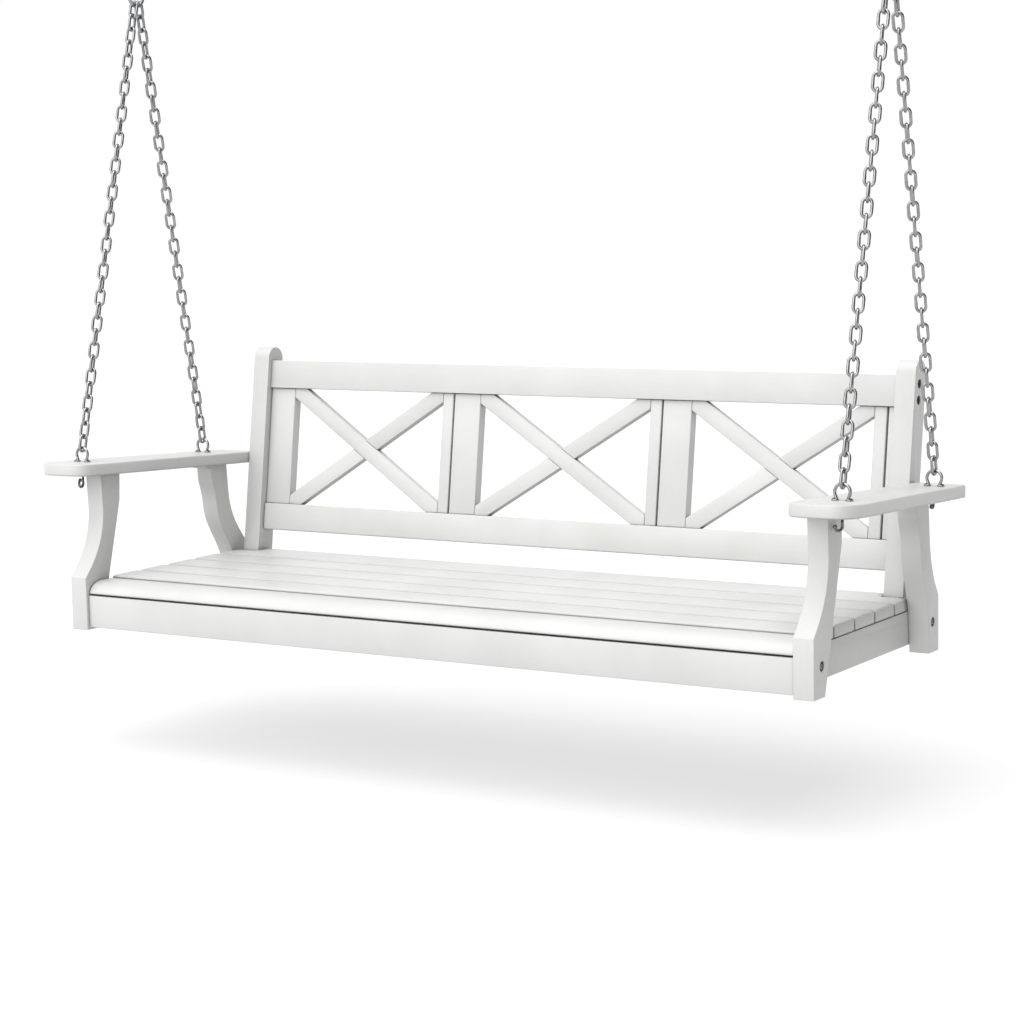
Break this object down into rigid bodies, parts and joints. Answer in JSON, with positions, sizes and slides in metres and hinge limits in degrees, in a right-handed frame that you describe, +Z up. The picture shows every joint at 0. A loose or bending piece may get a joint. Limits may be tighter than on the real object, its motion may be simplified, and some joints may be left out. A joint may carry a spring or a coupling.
{
  "type": "porch swing",
  "caption": "Hanging garden bench with a slatted seat, X-braced back and flat armrests, on chains from two ceiling hooks.",
  "frame": {"origin": "the point in the ceiling plane midway between the two ceiling hooks, straight above the hanging axis", "axes": "+X along the seat, +Y towards the back, +Z up"},
  "size_m": [1.656, 0.5687, 1.2489],
  "materials": {
    "painted_wood": "white satin paint",
    "zinc": "galvanised",
    "dark_zinc": "dull galvanised"
  },
  "bodies": {
    "hangers": {"ceiling_hook_left": "zinc", "ceiling_hook_right": "zinc"},
    "rings": {"hanging_ring_left": "zinc", "hanging_ring_right": "zinc"},
    "chains_left": {"chain_front_left": "zinc", "chain_rear_left": "zinc"},
    "chains_right": {"chain_front_right": "zinc", "chain_rear_right": "zinc"},
    "bench": {"arm_post_front_left": "painted_wood", "arm_post_front_right": "painted_wood", "arm_post_rear_left": "painted_wood", "arm_post_rear_right": "painted_wood", "armrest_left": "painted_wood", "armrest_right": "painted_wood", "back_post_left": "painted_wood", "back_post_right": "painted_wood", "brace_falling_1": "painted_wood", "brace_falling_2": "painted_wood", "brace_falling_3": "painted_wood", "brace_rising_1": "painted_wood", "brace_rising_2": "painted_wood", "brace_rising_3": "painted_wood", "chain_bow_front_left": "zinc", "chain_bow_front_right": "zinc", "chain_bow_rear_left": "zinc", "chain_bow_rear_right": "zinc", "end_strip": "painted_wood", "front_apron": "painted_wood", "lower_rail": "painted_wood", "narrow_stile_1": "painted_wood", "narrow_stile_2": "painted_wood", "narrow_stile_3": "painted_wood", "nose_slat": "painted_wood", "post_bolt_front_left": "dark_zinc", "post_bolt_front_right": "dark_zinc", "post_bolt_rear_left": "dark_zinc", "post_bolt_rear_right": "dark_zinc", "rail_bolt_lower_left": "dark_zinc", "rail_bolt_lower_right": "dark_zinc", "rail_bolt_upper_left": "dark_zinc", "rail_bolt_upper_right": "dark_zinc", "rear_apron": "painted_wood", "seat_bearer_left": "painted_wood", "seat_bearer_right": "painted_wood", "seat_slat_1": "painted_wood", "seat_slat_2": "painted_wood", "seat_slat_3": "painted_wood", "seat_slat_4": "painted_wood", "seat_slat_5": "painted_wood", "side_apron_left": "painted_wood", "side_apron_right": "painted_wood", "top_rail": "painted_wood", "under_hook_left": "dark_zinc", "under_hook_right": "dark_zinc", "under_peg_left": "dark_zinc", "under_peg_right": "dark_zinc", "wide_stile_1": "painted_wood", "wide_stile_2": "painted_wood", "wide_stile_3": "painted_wood"}
  },
  "joints": [
    {"name": "swing", "type": "hinge", "parent": "hangers", "child": "rings", "pos_m": [0, 0, -0.035], "axis": [1, 0, 0], "range_deg": [-35, 35]},
    {"name": "sway", "type": "hinge", "parent": "rings", "child": "chains_left", "pos_m": [-0.774, 0, -0.0956], "axis": [0, 1, 0], "range_deg": [-8, 8]},
    {"name": "sway_right", "type": "hinge", "parent": "rings", "child": "chains_right", "pos_m": [0.774, 0, -0.0956], "axis": [0, 1, 0], "range_deg": [-8, 8]},
    {"name": "bench_level", "type": "hinge", "parent": "chains_left", "child": "bench", "pos_m": [-0.774, 0, -0.92883], "axis": [0, 1, 0], "range_deg": [-8, 8]}
  ],
  "couplings": [
    {"joint": "sway_right", "follows": "sway", "ratio": 1},
    {"joint": "bench_level", "follows": "sway", "ratio": -1}
  ]
}
